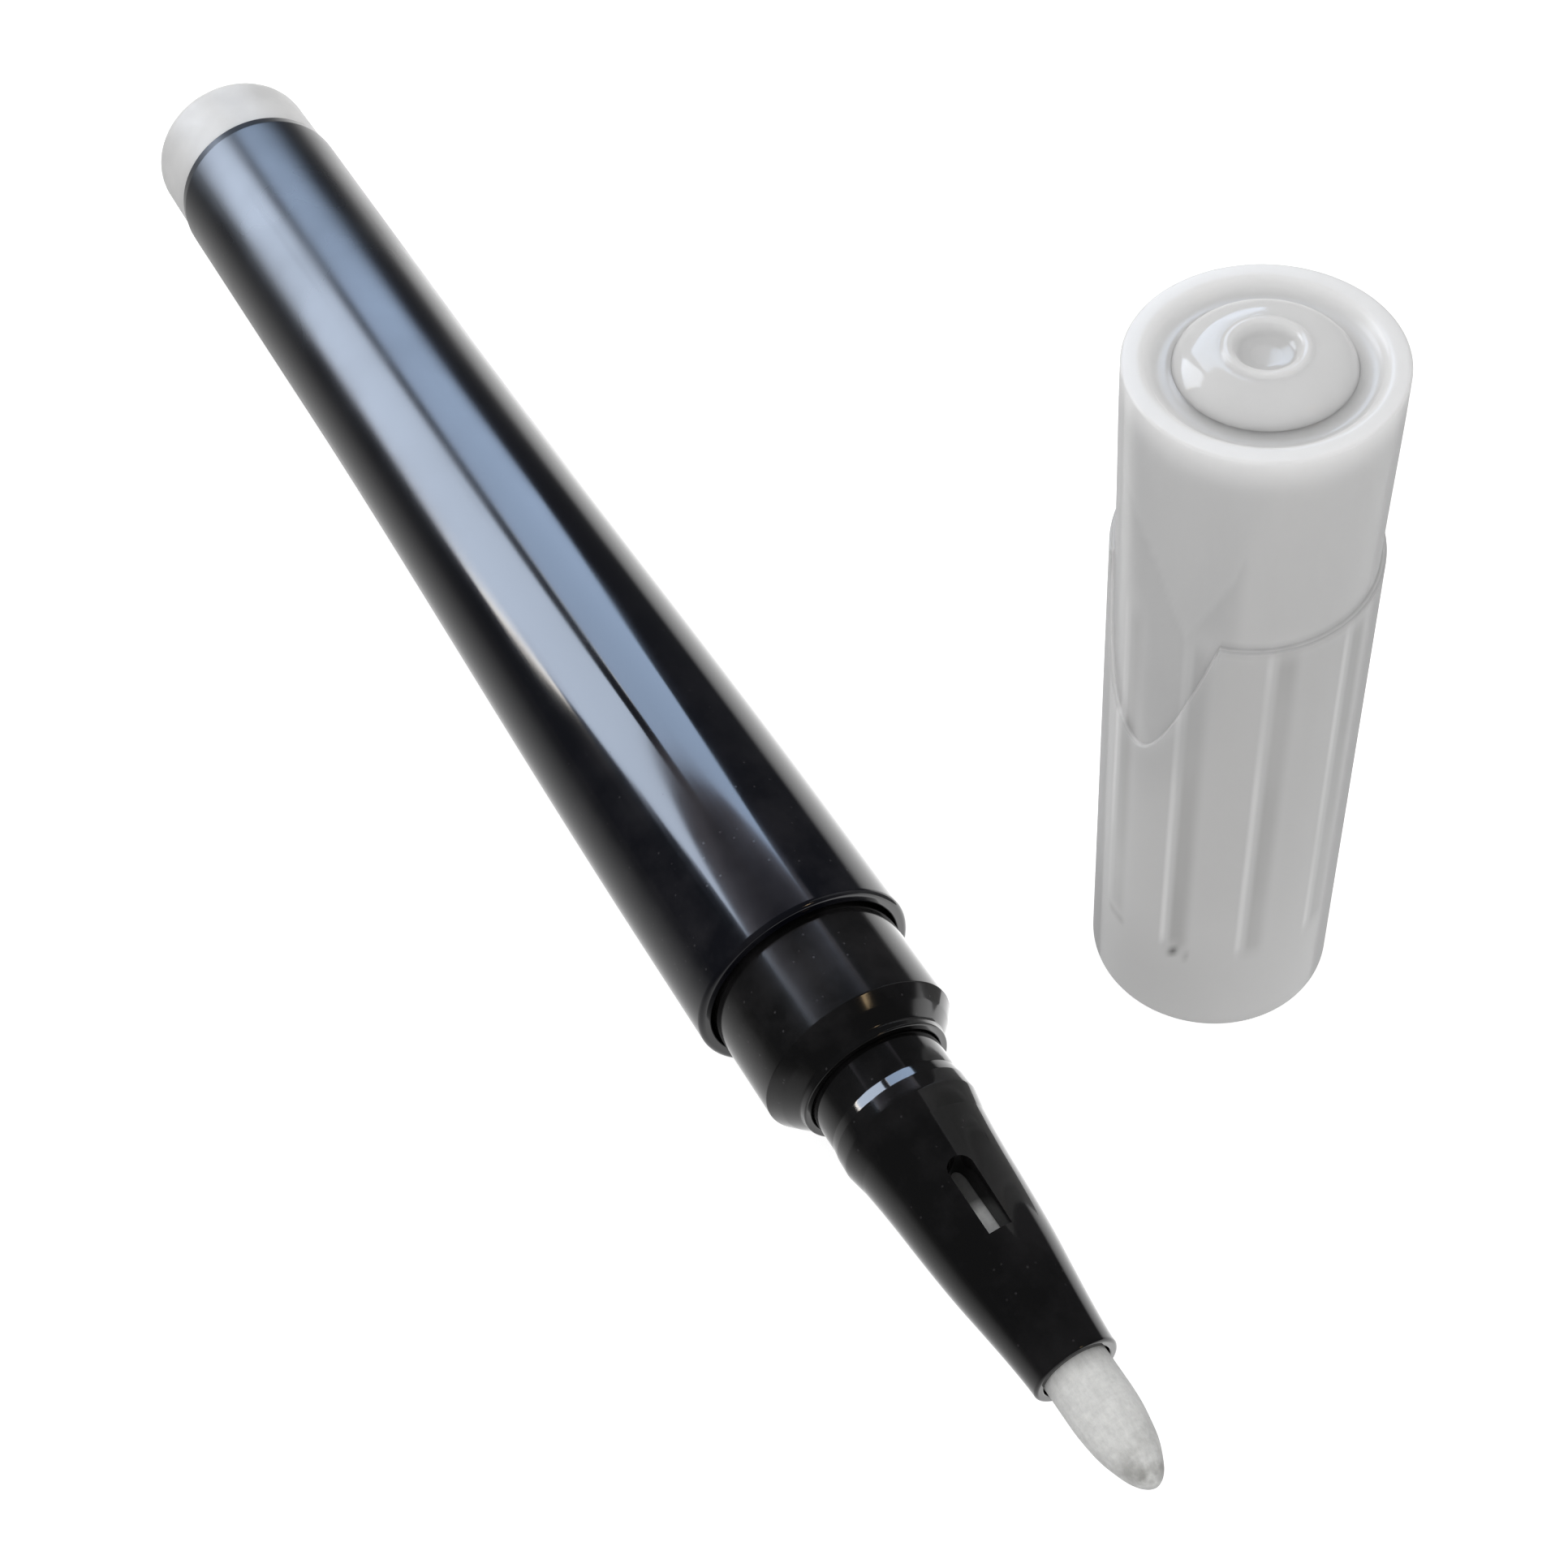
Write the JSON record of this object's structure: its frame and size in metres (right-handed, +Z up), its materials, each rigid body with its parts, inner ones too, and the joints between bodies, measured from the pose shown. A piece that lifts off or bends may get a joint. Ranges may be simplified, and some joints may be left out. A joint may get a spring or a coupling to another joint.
{
  "type": "lens cleaning pen",
  "caption": "Uncapped felt-tip lens cleaning pen with a glossy black barrel and a tapered vented nose, its translucent cap standing beside it.",
  "frame": {"origin": "middle of the bounding box of the pen and its cap together, on the surface they rest on", "axes": "+X along the pen from its tail to its nib, +Y from the pen towards the standing cap, +Z up"},
  "size_m": [0.1192, 0.0362, 0.0451],
  "materials": {
    "barrel_black": "high gloss, injection moulded",
    "plug_white": "milky, slightly translucent, satin",
    "nose_black": "semi-gloss with fine scratches",
    "felt": "fine bonded felt, worn grey at the tip",
    "fibre": "loose polyester fibre",
    "film": "thin clear wrap",
    "cap_frosted": "natural translucent polypropylene, satin",
    "cap_gloss": "natural translucent polypropylene, polished"
  },
  "bodies": {
    "pen": {"barrel": "barrel_black", "end_plug": "plug_white", "collar": "nose_black", "nose_cone": "nose_black", "nib": "felt", "reservoir_core": "fibre", "reservoir_film": "film"},
    "cap": {"cap_shell": "cap_frosted", "cap_inner_seal": "cap_gloss"}
  },
  "joints": [
    {"name": "cap_lift", "type": "slide", "parent": "pen", "child": "cap", "axis": [0, 0, 1], "range_m": [0, 0.06]}
  ]
}
